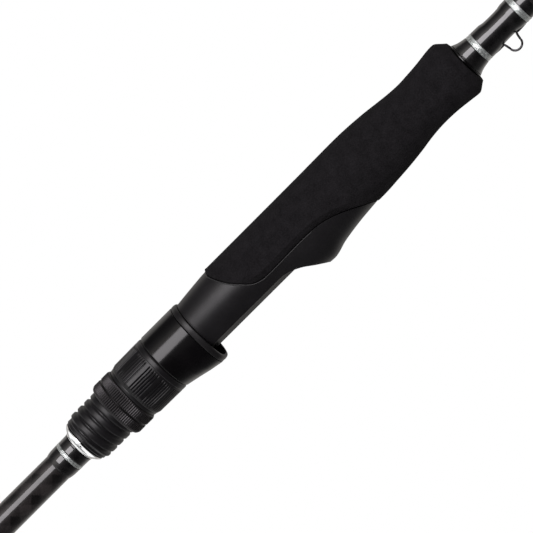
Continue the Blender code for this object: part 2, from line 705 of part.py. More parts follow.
def make_guide(number, z, outer, bore, height, wire_radius, foot, two_feet):
    parent = ROD if z < TIP_SECTION_START else TIP
    base = blank_radius(z) + wire_radius + 0.3
    loop_radius = outer / 2 + wire_radius + 0.1
    name = f"guide_{number}"
    path = front_wire(z, height, loop_radius, base, wire_radius, foot)
    frame = place(wire(name + "_frame", path, wire_radius, sides=1), STEEL, parent)
    if two_feet:
        path = rear_wire(z, height, loop_radius, base, wire_radius, foot)
        brace = wire(name + "_brace", path, wire_radius * 0.9, sides=1)
        combine(frame, as_cutter(brace), "UNION")
    ring_turned(name + "_ring", z, height, outer / 2, bore / 2, 0.16 * outer + 0.4, parent)

    half_slot = 2.25 * wire_radius + 0.35
    low, high = z + 3.0 + 0.45 * foot, z + 5.2 + foot
    spans = [("wrap", low, high)]
    if two_feet:
        end = z - 3.4 - 0.4 * height - foot
        spans = [("front_wrap", low, high), ("rear_wrap", end - 2.0, end + 0.6 * foot)]
    for label, first, last in spans:
        crest = blank_radius(z) + 2 * wire_radius + 0.55
        low_end, high_end = (blank_radius(at) + GAP + 0.2 for at in (first, last))
        rings = [(first, low_end), (first + 1.2, crest), (last - 1.2, crest - 0.05), (last, high_end)]
        wrapped(f"{name}_{label}", rings, parent, slot=(first - 5, last + 5, half_slot))


def make_tip_top():
    z, outer, bore, height, wire_radius = TIP_TOP
    rings = [(z - 13.0, 1.15), (z - 12.6, 1.3), (z + 1.4, 1.3), (z + 1.7, 1.15)]
    inner = [(at, blank_radius(at - 13) + GAP) for at in (z - 13.0, z + 1.7)]
    tube = sleeve("tip_top_frame", rings, inner, STEEL, TIP)
    loop_radius = outer / 2 + wire_radius + 0.1
    reach = height + 0.4
    ring = []
    for i in range(19):
        angle = math.radians(150) - math.radians(300) * i / 18
        ring.append((reach + loop_radius * math.cos(angle), -loop_radius * math.sin(angle), z + 2.4))
    left = [(0.55, -1.25, z - 7.0), (0.8, -1.35, z - 2.5)]
    path = left + ring + [(x, -y, at) for x, y, at in reversed(left)]
    combine(tube, as_cutter(wire("tip_loop", path, wire_radius, sides=1)), "UNION")
    ring_turned("tip_top_ring", z + 2.4, reach, outer / 2, bore / 2, 1.3, TIP)


def main():
    make_blank()
    make_butt()
    make_seat()
    make_arbors()
    make_hood()
    make_nut()
    make_seat_checks()
    make_foregrip()
    make_handle_wraps()
    make_ferrule_wraps()
    for number, guide in enumerate(GUIDES, start=1):
        make_guide(number, *guide)
    make_tip_top()


main()
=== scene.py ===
"""The looks of a two-piece spinning rod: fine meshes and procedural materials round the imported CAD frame.

The row frame is the CAD's: +X runs along the rod to its tip, and -Z is the side that the reel and the
guides hang on. Its origin is on the rod's axis at the middle of the reel seat's foot bed. Sizes below are
in millimetres. Rings round the rod start at the reel side (-Z) and turn by the right-hand rule about +X.
"""

import math

import bmesh
import bpy
from mathutils import Matrix, Vector


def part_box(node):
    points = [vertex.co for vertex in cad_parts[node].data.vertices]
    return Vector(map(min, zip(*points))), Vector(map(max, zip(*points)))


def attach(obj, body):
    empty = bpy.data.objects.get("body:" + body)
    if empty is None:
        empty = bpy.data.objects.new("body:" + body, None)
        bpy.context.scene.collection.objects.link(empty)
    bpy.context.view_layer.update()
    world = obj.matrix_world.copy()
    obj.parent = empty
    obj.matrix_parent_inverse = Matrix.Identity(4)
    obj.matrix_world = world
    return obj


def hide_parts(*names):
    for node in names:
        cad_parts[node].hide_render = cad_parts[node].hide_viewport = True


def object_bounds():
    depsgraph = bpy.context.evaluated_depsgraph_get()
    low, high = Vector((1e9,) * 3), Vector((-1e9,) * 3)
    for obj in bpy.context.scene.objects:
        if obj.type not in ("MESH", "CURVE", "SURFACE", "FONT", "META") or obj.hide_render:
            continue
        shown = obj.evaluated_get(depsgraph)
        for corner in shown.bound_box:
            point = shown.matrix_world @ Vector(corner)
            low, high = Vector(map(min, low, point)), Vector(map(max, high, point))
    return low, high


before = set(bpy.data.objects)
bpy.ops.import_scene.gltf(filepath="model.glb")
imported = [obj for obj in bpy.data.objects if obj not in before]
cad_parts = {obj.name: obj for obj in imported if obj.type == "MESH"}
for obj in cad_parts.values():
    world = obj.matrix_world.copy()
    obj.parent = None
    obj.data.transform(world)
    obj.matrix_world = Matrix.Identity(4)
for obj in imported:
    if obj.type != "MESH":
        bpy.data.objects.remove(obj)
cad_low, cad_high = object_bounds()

MM = 0.001
FINE = 144  # points round a handle part
ROUND = 64  # points round a blank, a wrap or a ring

BUTT, HOOD, NUT, TIP = "butt_half", "hood", "nut", "tip_half"


def span(node):
    """The first and last x of a CAD node, in millimetres."""
    low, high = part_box(node)
    return low[0] / MM, high[0] / MM


# ---------------------------------------------------------------- sizes

SEAT_REAR, SEAT_FRONT = span("seat_body")
BLANK_START = span("butt_section_blank")[0]
BLANK_AT_SEAT = 5.5  # radius
TAPER = 0.00258  # loss of radius, mm per mm
TIP_START, TIP_END = span("tip_section_blank")
BUTT_SECTION_END = span("butt_section_blank")[1]
BLANK_WALL = 1.1
JOINT_GAP = 0.15

THREAD_RADIUS = 9.95
THREAD_ROOT = 9.2
PITCH = 3.3
THREAD_PHASE = -76.85  # x of a groove's middle at the reel side
THREAD_END = -40.0
SHOULDER = -21.9
SEAT_BORE = 8.0
CORE = 10.3  # radius of the seat under the foam
BED = 9.6  # depth of the foot bed's pad
BED_PAD_WIDTHS = ((SHOULDER + 0.2, 7.55), (-6.0, 9.1), (34.5, 9.1))  # x, half width of the pad's foot
BED_EDGE = 8.1  # depth of the bed beside the pad
FLAT = 8.8  # depth of the flat under the thread

NUT_REAR, NUT_FRONT = -56.1, span("lock_nut")[1]
NUT_RADIUS = 11.8
NECK = 10.75  # radius of the nut under the collar
NUT_BORE = 10.15
NUT_POINTS = 720
RIB_GROUPS = 11
GROOVES = 5  # in a group
GROOVE_STEP = 5.5  # degrees
GROOVE_WIDTH = 3.0  # degrees
GROOVE_DEPTH = 0.45
GROOVE_REAR, GROOVE_FRONT = -54.3, -42.8
COLLAR_REAR, COLLAR_FRONT = span("knurled_collar")
COLLAR_RADIUS = 11.65
TEETH = 80
COLLAR_GROOVE = -60.95
TOOTH_DEPTH = 0.30

HOOD_REAR, SHELL_FRONT = span("movable_hood_shell")
HOOD_FRONT = span("hood_insert")[1]
HOOD_HALF_WIDTH = 11.85
HOOD_DEPTH = 14.75
HOOD_SLOPE_START = HOOD_REAR + 0.9
HOOD_SLOPE_LENGTH = 13.0
HOOD_WALL = 0.6
HOOD_BORE = 10.2

GRIP_FRONT = span("foregrip")[1]
FOAM_GAP = 0.3
BEVEL_WIDTH = 2.4
BEVEL_EDGE = 0.5  # the bevel's width where it is narrow
BEVEL_DEPTH = 0.95
BEVEL_WIDENS = (1.0, 7.0)  # x where it starts to widen, x where it is at full width
BEVEL_FADES = (53.0, 44.0)  # x where it is gone, x where it starts to fade
FOLD_WIDTH = 0.55
FOLD_HEIGHT = 0.14
BEAD_RADIUS = 0.3
BEAD_END = 34.0


def blank_radius(x):
    return BLANK_AT_SEAT - TAPER * (x - SEAT_REAR)


def rise(x, start, end):
    """From 0 at start to 1 at end in a straight line, and level beyond both. Start may be the larger."""
    return min(max((x - start) / (end - start), 0.0), 1.0)


# ---------------------------------------------------------------- meshes


def mesh_object(name, points, faces, sharp=32.0):
    """A smooth object from points in millimetres. Edges sharper than an angle in degrees stay crisp."""
    mesh = bpy.data.meshes.new(name)
    mesh.from_pydata([Vector(p) * MM for p in points], [], faces)
    return tidy(bpy.data.objects.new(name, mesh), sharp)


def tidy(obj, sharp=32.0):
    """Welds, turns the faces outward and shades an object's own mesh."""
    build = bmesh.new()
    build.from_mesh(obj.data)
    bmesh.ops.remove_doubles(build, verts=build.verts, dist=1e-7)
    bmesh.ops.recalc_face_normals(build, faces=build.faces)
    build.to_mesh(obj.data)
    build.free()
    obj.data.shade_smooth()
    obj.data.set_sharp_from_angle(angle=math.radians(sharp))
    return obj


def loft(name, rings, closed=False, sharp=32.0):
    """A skin through rings of the same number of points. A closed one joins its last ring to its first."""
    count, rows = len(rings[0]), len(rings)
    faces = []
    for a in range(rows if closed else rows - 1):
        b = (a + 1) % rows
        for i in range(count):
            j = (i + 1) % count
            faces.append((a * count + i, b * count + i, b * count + j, a * count + j))
    if not closed:
        faces.append(range(count))
        faces.append(range((rows - 1) * count, rows * count))
    return mesh_object(name, [p for ring in rings for p in ring], faces, sharp)


def circle(x, radius, count=FINE, lift=0.0):
    return section(x, radius, radius, 2.0, radius, count, lift)


def section(x, depth, half_width, power, top, count=FINE, lift=0.0):
    """A ring, round towards the top (+Z). Towards the reel side it is a superellipse that reaches depth."""
    points = []
    for i in range(count):
        angle = 2 * math.pi * i / count
        c, s = math.cos(angle), math.sin(angle)
        if c > 0:
            reach = (abs(c / depth) ** power + abs(s / half_width) ** power) ** (-1 / power)
        else:
            reach = 1 / math.hypot(c / top, s / half_width)
        points.append((x, reach * s, lift - reach * c))
    return points


def rounded(profile, radius, steps=4, closed=False):
    """The profile with each corner rounded off by a curve that starts and ends radius away from it."""
    count = len(profile)
    made = []
    for i, corner in enumerate(profile):
        if not closed and i in (0, count - 1):
            made.append(corner)
            continue
        corner = Vector(corner)
        before, after = Vector(profile[i - 1]), Vector(profile[(i + 1) % count])
        start = corner + (before - corner) * min(radius / max((before - corner).length, 1e-6), 0.45)
        end = corner + (after - corner) * min(radius / max((after - corner).length, 1e-6), 0.45)
        for k in range(steps + 1):
            t = k / steps
            made.append(tuple(start.lerp(corner, t).lerp(corner.lerp(end, t), t)))
    return made


def smooth_line(points, steps=6):
    """A Catmull-Rom curve through the points, ends included."""
    ends = [Vector(points[0])] + [Vector(p) for p in points] + [Vector(points[-1])]
    made = []
    for a, b, c, d in zip(ends, ends[1:], ends[2:], ends[3:]):
        for k in range(steps):
            t = k / steps
            square = (2 * a - 5 * b + 4 * c - d) * t**2
            cube = (3 * b - 3 * c + d - a) * t**3
            made.append(tuple(0.5 * (2 * b + (c - a) * t + square + cube)))
    return made + [tuple(points[-1])]


def lathe(name, outer, bore, count=ROUND, edge=0.15, sharp=32.0):
    """A turned tube. outer is (x, r) from rear to front, and bore (x, r) from front to rear."""
    profile = rounded(list(outer) + list(bore), edge, closed=True)
    return loft(name, [circle(x, r, count) for x, r in profile], closed=True, sharp=sharp)


def on_blank(low, high, gap=JOINT_GAP):
    return [(high, blank_radius(high) + gap), (low, blank_radius(low) + gap)]


def plate(name, layers):
    """A solid lofted across the rod. Each layer is y and an outline of (x, z), all with as many points."""
    return loft(name, [[(x, y, z) for x, z in outline] for y, outline in layers])


def block(name, low, high):
    outline = [(low[0], low[2]), (high[0], low[2]), (high[0], high[2]), (low[0], high[2])]
    return plate(name, [(low[1], outline), (high[1], outline)])


def carve(obj, *steps):
    """Runs Booleans on obj in turn. Each step is (operation, other object), and the others are used up."""
    scene = bpy.context.scene.collection
    scene.objects.link(obj)
    for operation, other in steps:
        scene.objects.link(other)
        cut = obj.modifiers.new("cut", "BOOLEAN")
        cut.operation = operation
        cut.solver = "EXACT"
        cut.object = other
    mesh = settled(obj)
    for _, other in steps:
        bpy.data.objects.remove(other)
    scene.objects.unlink(obj)
    obj.modifiers.clear()
    obj.data = mesh
    return obj


def settled(obj):
    """The object's mesh with its modifiers run."""
    bpy.context.view_layer.update()
    graph = bpy.context.evaluated_depsgraph_get()
    return bpy.data.meshes.new_from_object(obj.evaluated_get(graph), depsgraph=graph)


def soften(obj, width, angle=35.0, segments=3):
    """Rounds off the edges that are sharper than angle."""
    scene = bpy.context.scene.collection
    scene.objects.link(obj)
    bevel = obj.modifiers.new("soften", "BEVEL")
    bevel.width = width * MM
    bevel.segments = segments
    bevel.limit_method = "ANGLE"
    bevel.angle_limit = math.radians(angle)
    bevel.use_clamp_overlap = True
    mesh = settled(obj)
    scene.objects.unlink(obj)
    obj.modifiers.clear()
    obj.data = mesh
    return tidy(obj, 40.0)


def wire(name, path, radius):
    """Round wire of a radius along a path, with rounded ends."""
    data = bpy.data.curves.new(name, "CURVE")
    data.dimensions = "3D"
    data.bevel_depth = radius * MM
    data.bevel_resolution = 5
    data.use_fill_caps = True
    spline = data.splines.new("POLY")
    spline.points.add(len(path) - 1)
    for i, (point, at) in enumerate(zip(spline.points, path)):
        point.co = (*(Vector(at) * MM), 1.0)
        if i in (0, len(path) - 1):
            point.radius = 0.6
    curve = bpy.data.objects.new(name + "_path", data)
    bpy.context.scene.collection.objects.link(curve)
    mesh = settled(curve)
    bpy.data.objects.remove(curve)
    return tidy(bpy.data.objects.new(name, mesh), 60.0)


def joined(name, objects):
    """One object from the meshes of several."""
    build = bmesh.new()
    for obj in objects:
        build.from_mesh(obj.data)
        bpy.data.objects.remove(obj)
    mesh = bpy.data.meshes.new(name)
    build.to_mesh(mesh)
    build.free()
    return tidy(bpy.data.objects.new(name, mesh), 60.0)


def piece(obj, paint, body, slot, *nodes):
    """Shows an object in place of CAD nodes, riding on a body."""
    if obj.name not in bpy.context.scene.collection.objects:
        bpy.context.scene.collection.objects.link(obj)
    obj.data.materials.clear()
    obj.data.materials.append(paint)
    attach(obj, body)
    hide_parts(*nodes)
    return obj


# ---------------------------------------------------------------- materials


class Paint:
    """A Principled material under construction, with its object coordinates at hand."""

    def __init__(self, name, **values):
        self.material = bpy.data.materials.new(name)
        self.material.use_nodes = True
        self.tree = self.material.node_tree
        self.shader = self.tree.nodes["Principled BSDF"]
        for socket, value in values.items():
            label = socket.replace("_", " ")
            self.shader.inputs[label].default_value = (*value, 1.0) if isinstance(value, tuple) else value
        self.place = self.node("ShaderNodeTexCoord").outputs["Object"]

    def node(self, kind, **settings):
        made = self.tree.nodes.new(kind)
        for name, value in settings.items():
            setattr(made, name, value)
        return made

    def link(self, source, socket):
        self.tree.links.new(source, socket)

    def maths(self, operation, a, b=0.0, c=0.0):
        made = self.node("ShaderNodeMath", operation=operation)
        for socket, value in zip(made.inputs, (a, b, c)):
            if isinstance(value, (int, float)):
                socket.default_value = value
            else:
                self.link(value, socket)
        return made.outputs[0]

    def noise(self, size, detail=3.0, stretch=(1.0, 1.0, 1.0)):
        """Noise with features about size millimetres across, from 0 to 1."""
        mapping = self.node("ShaderNodeMapping")
        mapping.inputs["Scale"].default_value = stretch
        self.link(self.place, mapping.inputs["Vector"])
        made = self.node("ShaderNodeTexNoise")
        made.inputs["Scale"].default_value = 1.0 / (size * MM)
        made.inputs["Detail"].default_value = detail
        self.link(mapping.outputs[0], made.inputs["Vector"])
        return made.outputs["Fac"]

    def cells(self, size):
        """Distance to the middle of the nearest cell."""
        made = self.node("ShaderNodeTexVoronoi")
        made.inputs["Scale"].default_value = 1.0 / (size * MM)
        self.link(self.place, made.inputs["Vector"])
        return made.outputs["Distance"]

    def ramp(self, factor, low, high, start=0.0, end=1.0):
        """Colours, or greys, that run from low to high as factor goes from start to end."""
        made = self.node("ShaderNodeValToRGB")
        for element, where, value in zip(made.color_ramp.elements, (start, end), (low, high)):
            element.position = where
            element.color = (*value, 1.0) if isinstance(value, tuple) else (value, value, value, 1.0)
        self.link(factor, made.inputs["Fac"])
        return made.outputs["Color"]

    def colour(self, source):
        self.link(source, self.shader.inputs["Base Color"])

    def roughness(self, factor, low, high):
        self.link(self.ramp(factor, low, high), self.shader.inputs["Roughness"])

    def bump(self, height, depth, coat=False):
        """Relief of depth millimetres. With coat, the relief is in the clear coat as well."""
        made = self.node("ShaderNodeBump")
        made.inputs["Distance"].default_value = depth * MM
        made.inputs["Strength"].default_value = 1.0
        self.link(height, made.inputs["Height"])
        self.link(made.outputs["Normal"], self.shader.inputs["Normal"])
        if coat:
            self.link(made.outputs["Normal"], self.shader.inputs["Coat Normal"])

    def round_angle(self):
        """The place along the rod, in metres, and the angle round it, in turns."""
        split = self.node("ShaderNodeSeparateXYZ")
        self.link(self.place, split.inputs[0])
        radians = self.maths("ARCTAN2", split.outputs[1], split.outputs[2])
        return split.outputs[0], self.maths("MULTIPLY", radians, 0.5 / math.pi)


def foam():
    paint = Paint("eva_foam", Roughness=0.92, Specular_IOR_Level=0.07)
    grain = paint.noise(0.55, 4.0)
    cloud = paint.noise(3.5, 3.0)
    tone = paint.maths("ADD", paint.maths("MULTIPLY", grain, 0.6), paint.maths("MULTIPLY", cloud, 0.4))
    paint.colour(paint.ramp(tone, (0.0030, 0.0027, 0.0031), (0.0090, 0.0083, 0.0093), 0.32, 0.68))
    pores = paint.cells(0.42)
    paint.bump(paint.maths("ADD", pores, grain), 0.09)
    return paint.material


def soft_plastic(name, tone, low, high, grain=0.5, relief=0.006, level=0.5):
    """Satin moulded plastic: a fine orange peel, a little uneven in its shine."""
    paint = Paint(name, Specular_IOR_Level=level)
    darker, lighter = (tuple(v * share for v in tone) for share in (0.85, 1.15))
    paint.colour(paint.ramp(paint.noise(6.0, 4.0), darker, lighter, 0.3, 0.7))
    paint.roughness(paint.noise(2.0, 3.0), low, high)
    paint.bump(paint.noise(grain, 2.0), relief)
    return paint.material


def gloss_plastic():
    paint = Paint("gloss_black", Specular_IOR_Level=0.33, Coat_Weight=0.06, Coat_Roughness=0.03)
    cloud = paint.noise(9.0, 3.0)
    paint.colour(paint.ramp(cloud, (0.0008, 0.0007, 0.0009), (0.0022, 0.0019, 0.0022), 0.3, 0.7))
    paint.roughness(paint.noise(1.2, 4.0, (0.35, 1.0, 1.0)), 0.13, 0.20)
    paint.bump(paint.noise(4.0, 2.0), 0.004, coat=True)
    return paint.material


TAPE_PITCH = 10.7
TAPES = 3.0  # tapes side by side round the blank


def carbon(name, low, high, fleck):
    """Crossed tapes of carbon under a thick clear coat: two sets of helical bands over one another."""
    paint = Paint(name, Metallic=0.25, Specular_IOR_Level=0.2, Coat_Weight=0.75, Coat_IOR=1.55)
    paint.shader.inputs["Coat Roughness"].default_value = 0.02
    along, turns = paint.round_angle()
    pitch = 1.0 / (TAPE_PITCH * MM)
    bands = []
    for sign in (1.0, -1.0):
        phase = paint.maths("MULTIPLY_ADD", along, pitch, paint.maths("MULTIPLY", turns, TAPES * sign))
        wobble = paint.maths("MULTIPLY", paint.noise(5.0, 2.0), 0.16)
        wave = paint.maths("PINGPONG", paint.maths("ADD", phase, wobble), 0.5)
        bands.append(paint.ramp(wave, 0.0, 1.0, 0.20, 0.27))
    both = paint.maths("ADD", bands[0], bands[1])
    patch = paint.ramp(paint.noise(3.2, 2.0, (0.5, 1.0, 1.0)), 0.55, 1.25, 0.35, 0.65)
    tone = paint.maths("MULTIPLY", paint.maths("MULTIPLY", both, 0.5), patch)
    fibres = paint.noise(0.25, 2.0, (0.12, 1.0, 1.0))
    shade = paint.maths("MULTIPLY_ADD", fibres, fleck, paint.maths("SUBTRACT", tone, 0.5 * fleck))
    paint.colour(paint.ramp(shade, low, high, 0.0, 1.1))
    paint.roughness(paint.noise(1.0, 2.0), 0.28, 0.42)
    return paint.material


THREAD_SPACING = 0.28


def thread_wrap():
    """Black thread wound round the blank, soaked with epoxy that levels to a thick gloss coat."""
    paint = Paint("thread_and_epoxy", Specular_IOR_Level=0.2, Coat_Weight=1.0, Coat_IOR=1.6)
    paint.shader.inputs["Coat Roughness"].default_value = 0.015
    along, _ = paint.round_angle()
    rows = paint.maths("SINE", paint.maths("MULTIPLY", along, 2 * math.pi / (THREAD_SPACING * MM)))
    cloud = paint.noise(2.6, 3.0)
    tone = paint.maths("MULTIPLY_ADD", rows, 0.12, cloud)
    paint.colour(paint.ramp(tone, (0.0008, 0.0007, 0.0009), (0.0060, 0.0053, 0.0056), 0.42, 0.85))
    paint.roughness(cloud, 0.30, 0.45)
    paint.bump(paint.noise(7.0, 1.0), 0.03, coat=True)
    return paint.material


def metal_thread():
    paint = Paint("silver_thread", Metallic=0.85, Coat_Weight=0.8, Coat_Roughness=0.03)
    along, turns = paint.round_angle()
    slant = paint.maths("MULTIPLY", along, 9000.0)
    strands = paint.maths("SINE", paint.maths("MULTIPLY_ADD", turns, 380.0, slant))
    spots = paint.noise(0.5, 3.0)
    tone = paint.maths("MULTIPLY_ADD", strands, 0.22, spots)
    paint.colour(paint.ramp(tone, (0.12, 0.14, 0.13), (0.70, 0.73, 0.72), 0.30, 0.66))
    paint.roughness(spots, 0.22, 0.4)
    paint.bump(strands, 0.02)
    return paint.material


def metal(name, dark, light, low, high, stretch=(1.0, 1.0, 1.0), relief=0.002, metallic=1.0):
    """Metal with faint turning marks; stretch draws them out."""
    paint = Paint(name, Metallic=metallic)
    marks = paint.noise(0.35, 3.0, stretch)
    paint.colour(paint.ramp(marks, dark, light, 0.3, 0.7))
    paint.roughness(paint.noise(1.5, 3.0), low, high)
    paint.bump(marks, relief)
    return paint.material


FOAM = foam()
SEAT = soft_plastic("seat_soft_touch", (0.0055, 0.0051, 0.0058), 0.33, 0.41, level=0.27)
RIM = soft_plastic("hood_rim_satin", (0.0050, 0.0046, 0.0050), 0.32, 0.40, level=0.28)
NUT_BLACK = soft_plastic("nut_satin", (0.0042, 0.0039, 0.0044), 0.28, 0.36, level=0.28)
RUBBER = soft_plastic("butt_rubber", (0.012, 0.012, 0.012), 0.62, 0.75, 0.4, 0.02, 0.35)
CORK_FILL = soft_plastic("arbor_foam", (0.10, 0.10, 0.10), 0.8, 0.9, 0.6, 0.03, 0.3)
GLOSS = gloss_plastic()
ALLOY = metal("black_alloy", (0.012, 0.011, 0.012), (0.028, 0.026, 0.027), 0.26, 0.36, metallic=0.75)
SILVER = metal("bright_silver", (0.80, 0.81, 0.81), (0.95, 0.95, 0.95), 0.10, 0.20, (6.0, 0.3, 0.3))
STEEL = metal("dark_steel", (0.035, 0.034, 0.036), (0.075, 0.073, 0.076), 0.18, 0.30)
CARBON = carbon("carbon_blank", (0.0040, 0.0036, 0.0037), (0.022, 0.019, 0.019), 0.35)
WRAP = thread_wrap()
TRIM = metal_thread()
CERAMIC = soft_plastic("ceramic", (0.012, 0.012, 0.013), 0.05, 0.10, 0.5, 0.001, 0.7)


# ---------------------------------------------------------------- blanks


def make_blanks():
    butt = [(x, blank_radius(x)) for x in (BLANK_START, 0.0, 400.0, BUTT_SECTION_END)]
    bore = [(BUTT_SECTION_END, 2.4), (BLANK_START, blank_radius(BLANK_START) - BLANK_WALL)]
    piece(lathe("butt_blank", butt, bore), CARBON, BUTT, "carbon", "butt_section_blank")

    socket_end = BUTT_SECTION_END + 6
    outer = [
        (TIP_START, 4.30), (socket_end, 4.15), (socket_end + 18, blank_radius(socket_end + 18)),
        (1200.0, blank_radius(1200.0)), (TIP_END, blank_radius(TIP_END)),
    ]
    socket = [(x, blank_radius(x) + JOINT_GAP) for x in (BUTT_SECTION_END + 3, TIP_START)]
    bore = [(TIP_END, 0.35), (socket_end + 2, 2.3)] + socket
    piece(lathe("tip_blank", outer, bore), CARBON, TIP, "carbon", "tip_section_blank")


# ---------------------------------------------------------------- butt end


def make_butt():
    rear, front = span("rear_grip")
    line = [
        (rear, 12.2), (rear + 1.8, 13.0), (rear + 8, 13.38), (rear + 16, 13.2), (rear + 30, 12.2),
        (rear + 46, 10.9), (rear + 62, 10.0), (rear + 78, 9.4), (front - 2.2, 9.1), (front, 8.2),
    ]
    grip = lathe("rear_grip_foam", smooth_line(line, 4), on_blank(rear, front), FINE, 0.4)
    piece(grip, FOAM, BUTT, "eva_foam", "rear_grip")

    rear, front = span("rear_grip_check")
    ring = [(rear, 8.0), (rear + 1.3, 7.85), (rear + 2.0, 7.3), (front, 6.6)]
    ring = lathe("rear_grip_check_ring", ring, on_blank(rear, front), FINE)
    piece(ring, SILVER, BUTT, "silver", "rear_grip_check")

    rear, front = span("butt_trim_ring")
    ring = lathe("butt_ring", [(rear, 12.6), (front, 12.6)], on_blank(rear, front), FINE, 0.4)
    piece(ring, ALLOY, BUTT, "black_alloy", "butt_trim_ring")

    rear, front = span("butt_cap")
    cap = [
        (front - 5.7, 0.0), (front - 5.7, 6.1), (front, 6.1), (front, 12.3), (front - 3.3, 13.0),
        (rear + 3.5, 12.8), (rear + 1.0, 11.8), (rear + 0.15, 10.2), (rear, 8.0), (rear + 1.1, 6.8),
        (rear + 1.1, 0.0),
    ]
    cap = loft("butt_cap_rubber", [circle(x, max(r, 0.02)) for x, r in rounded(cap, 0.5)])
    piece(cap, RUBBER, BUTT, "rubber", "butt_cap")


# ---------------------------------------------------------------- reel seat

FULL = 12.45  # radius of the seat's body where it is widest
FAR = 30.0  # well outside the handle
BODY_LINE = (
    (SHOULDER, 11.05, 11.05, 2.0), (-15.0, 11.75, 11.75, 2.0), (-6.0, FULL, FULL, 2.0),
    (4.0, FULL, FULL, 2.0), (12.0, FULL, FULL, 2.0), (16.0, FULL, 13.2, 2.1),
    (20.0, FULL, 14.6, 2.2), (26.0, FULL, 16.3, 2.2),
    (30.5, FULL, 16.8, 2.2), (33.5, FULL, 16.3, 2.2), (37.0, FULL, 15.25, 2.2), (42.0, FULL, 14.4, 2.2),
    (47.0, FULL, 13.75, 2.2), (52.0, FULL, 13.3, 2.1), (SEAT_FRONT, FULL, 12.9, 2.0),
)  # x, radius, depth to the reel side, power of the section's superellipse

FOAM_EDGE = (
    (-6.1, 14.0), (-6.0, 11.5), (-4.6, 8.5), (-1.8, 3.9), (1.4, 0.3), (4.4, -2.5), (7.4, -3.75),
    (10.5, -4.1), (20.0, -4.0), (28.0, -3.9), (36.0, -4.4), (43.0, -6.3), (50.3, -9.85), (55.5, -12.9),
    (57.6, -15.0),
)  # x, z of the line where the foam ends, seen from the side

LIP = (
    (8.0, -8.1), (12.5, -8.1), (15.5, -8.5), (18.4, -9.55), (21.4, -11.2), (24.4, -13.5), (27.4, -15.7),
    (28.6, -17.0), (29.4, -20.0),
)  # x, z of the fixed hood's mouth, seen from the side


def thread_radius(x, angle):
    """The barrel's radius: broad flat-topped crests with a narrow round-bottomed groove between them."""
    phase = ((x - THREAD_PHASE) / PITCH - angle / (2 * math.pi)) % 1.0
    from_groove = min(phase, 1.0 - phase) * PITCH
    groove = 0.5 + 0.5 * math.cos(math.pi * min(from_groove / 0.95, 1.0))
    crown = 0.07 * (2 * from_groove / PITCH - 1) ** 2
    starts = rise(x, THREAD_PHASE - 2.2, THREAD_PHASE - 1.4)
    ends = rise(x, THREAD_END, THREAD_END - 1.5)
    crest = THREAD_ROOT + (THREAD_RADIUS - THREAD_ROOT) * (starts * (2 - starts))
    depth = (THREAD_RADIUS - THREAD_ROOT) * groove + crown
    return max(crest - depth * ends, THREAD_ROOT)


def make_barrel():
    """The seat's threaded barrel. Its thread is a fine grid of rings, each a little out of round."""
    rings = [circle(SEAT_REAR, 6.0), circle(SEAT_REAR, 8.55), circle(SEAT_REAR + 0.15, 8.85)]
    x = SEAT_REAR + 0.5
    while x < THREAD_END:
        ring = []
        for i in range(FINE):
            angle = 2 * math.pi * i / FINE
            radius = thread_radius(x, angle)
            ring.append((x, radius * math.sin(angle), -radius * math.cos(angle)))
        rings.append(ring)
        x += PITCH / 15
    inside = SHOULDER + 5
    rings += [circle(THREAD_END + 0.5, THREAD_RADIUS), circle(inside, THREAD_RADIUS), circle(inside, 6.0)]
    return loft("seat", rings)


def arch(x, ceiling, half_width, count=33):
    """Points round the space over the foot bed, with a flat floor and a rounded ceiling."""
    floor = BED_EDGE - 0.06
    points = []
    for i in range(count):
        angle = math.pi * (i / (count - 1) - 0.5)
        rise = (ceiling - floor) * max(math.cos(angle), 0.0) ** 0.7
        across = half_width * math.copysign(abs(math.sin(angle)) ** 0.7, angle)
        points.append((x, across, -floor - rise))
    return points


def foam_outline(inset):
    """The foam's outline seen from the side, its edge drawn in by inset."""
    edge = smooth_line(FOAM_EDGE, 5)
    drawn = []
    for i, (x, z) in enumerate(edge):
        before, after = edge[max(i - 1, 0)], edge[min(i + 1, len(edge) - 1)]
        run = Vector((after[0] - before[0], after[1] - before[1])).normalized()
        drawn.append((x - run.y * inset, z + run.x * inset))
    ahead = GRIP_FRONT + 15
    return drawn + [(SEAT_FRONT + 5, -FAR), (ahead, -FAR), (ahead, FAR), (drawn[0][0], FAR)]


def pad_ring(x, half_width):
    """The raised pad of the foot bed: a flat top between two sloping shoulders."""
    side = [
        (half_width, 0.5 - BED_EDGE), (half_width, 0.15 - BED_EDGE),
        (half_width - 1.4, -0.3 - BED_EDGE), (half_width - 3.4, -BED),
    ]
    return [(x, y, z) for y, z in side] + [(x, -y, z) for y, z in reversed(side)]


def seat_side(x, z):
    """How far out to the side the seat's skin is at a height."""
    for first, last in zip(BODY_LINE, BODY_LINE[1:]):
        if x <= last[0]:
            break
    share = (x - first[0]) / (last[0] - first[0])
    radius, depth, power = (a + (b - a) * share for a, b in zip(first[1:], last[1:]))
    if z > 0:
        return math.sqrt(radius**2 - z**2)
    return radius * (1 - abs(z / depth) ** power) ** (1 / power)


def make_beads():
    """The seat's fine raised edge beside the foam, one on each side."""
    edge = [(x, z) for x, z in foam_outline(-BEAD_RADIUS)[:-4] if x < BEAD_END and z < 11.9]
    path = [(x, seat_side(x, z) - 0.4 * BEAD_RADIUS, z) for x, z in edge]
    return [wire("bead", path, BEAD_RADIUS), wire("bead", mirrored(path), BEAD_RADIUS)]


